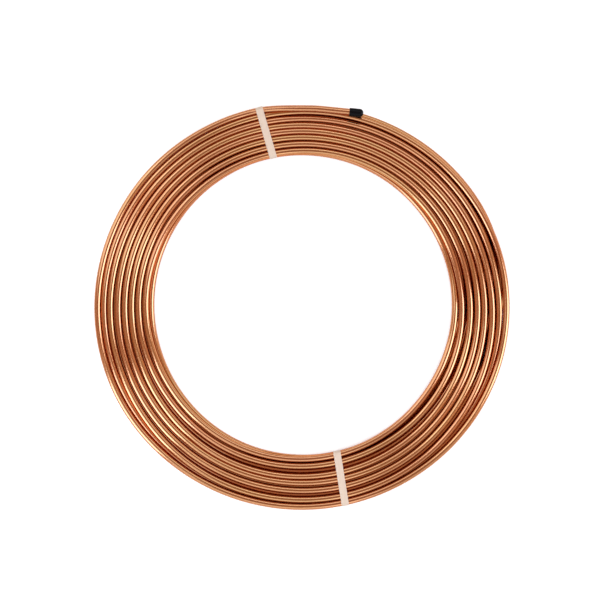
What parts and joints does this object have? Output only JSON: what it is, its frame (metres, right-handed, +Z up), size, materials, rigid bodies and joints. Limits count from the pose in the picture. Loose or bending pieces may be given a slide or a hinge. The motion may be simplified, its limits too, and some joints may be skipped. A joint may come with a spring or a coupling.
{
  "type": "copper tube coil",
  "caption": "Flat coil of soft bright copper tube, its nested turns tied by plastic straps, with a push-on cap on the free end.",
  "frame": {"origin": "on the floor, under the middle of the coil's bore", "axes": "+Z up along the coil's axis, towards the side that the picture shows; +X to the picture's right, +Y to its top"},
  "size_m": [0.4119, 0.412, 0.0211],
  "materials": {
    "copper": "bright drawn soft copper",
    "cap_vinyl": "soft glossy black vinyl",
    "strap_plastic": "frosted off-white strapping"
  },
  "bodies": {
    "root": {"copper_coil": "copper", "end_cap": "cap_vinyl", "strap_upper": "strap_plastic", "strap_lower": "strap_plastic"}
  },
  "joints": []
}
